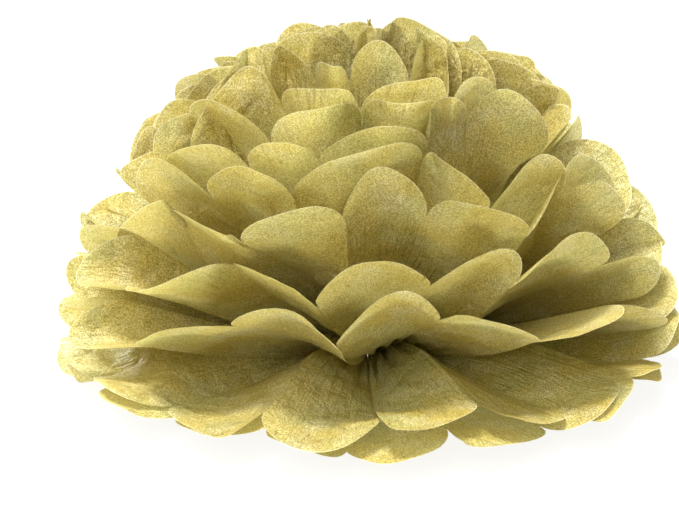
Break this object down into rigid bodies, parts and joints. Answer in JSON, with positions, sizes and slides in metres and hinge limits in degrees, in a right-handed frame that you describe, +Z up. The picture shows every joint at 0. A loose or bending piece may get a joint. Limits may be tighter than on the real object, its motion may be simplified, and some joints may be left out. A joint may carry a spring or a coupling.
{
  "type": "tissue paper pom pom",
  "caption": "Tissue paper pom pom: round-ended accordion-folded sheets, tied across the middle and fluffed up into a half ball that stands on its flat side.",
  "frame": {"origin": "on the surface that the pom pom stands on, under the middle of its tie", "axes": "+Z up; the tie's loop and the seams between the half fans lie in the YZ plane, and the fans spread to +X and -X; -Y is the front"},
  "size_m": [0.1522, 0.1522, 0.0786],
  "materials": {
    "tissue": "matt, faintly metallic gold print on thin translucent tissue",
    "tie": "drawn wire"
  },
  "bodies": {
    "root": {"tissue_sheet_01": "tissue", "tissue_sheet_02": "tissue", "tissue_sheet_03": "tissue", "tissue_sheet_04": "tissue", "tissue_sheet_05": "tissue", "tissue_sheet_06": "tissue", "tissue_sheet_07": "tissue", "tissue_sheet_08": "tissue", "tissue_sheet_09": "tissue", "tissue_sheet_10": "tissue", "tie_wire": "tie"}
  },
  "joints": []
}
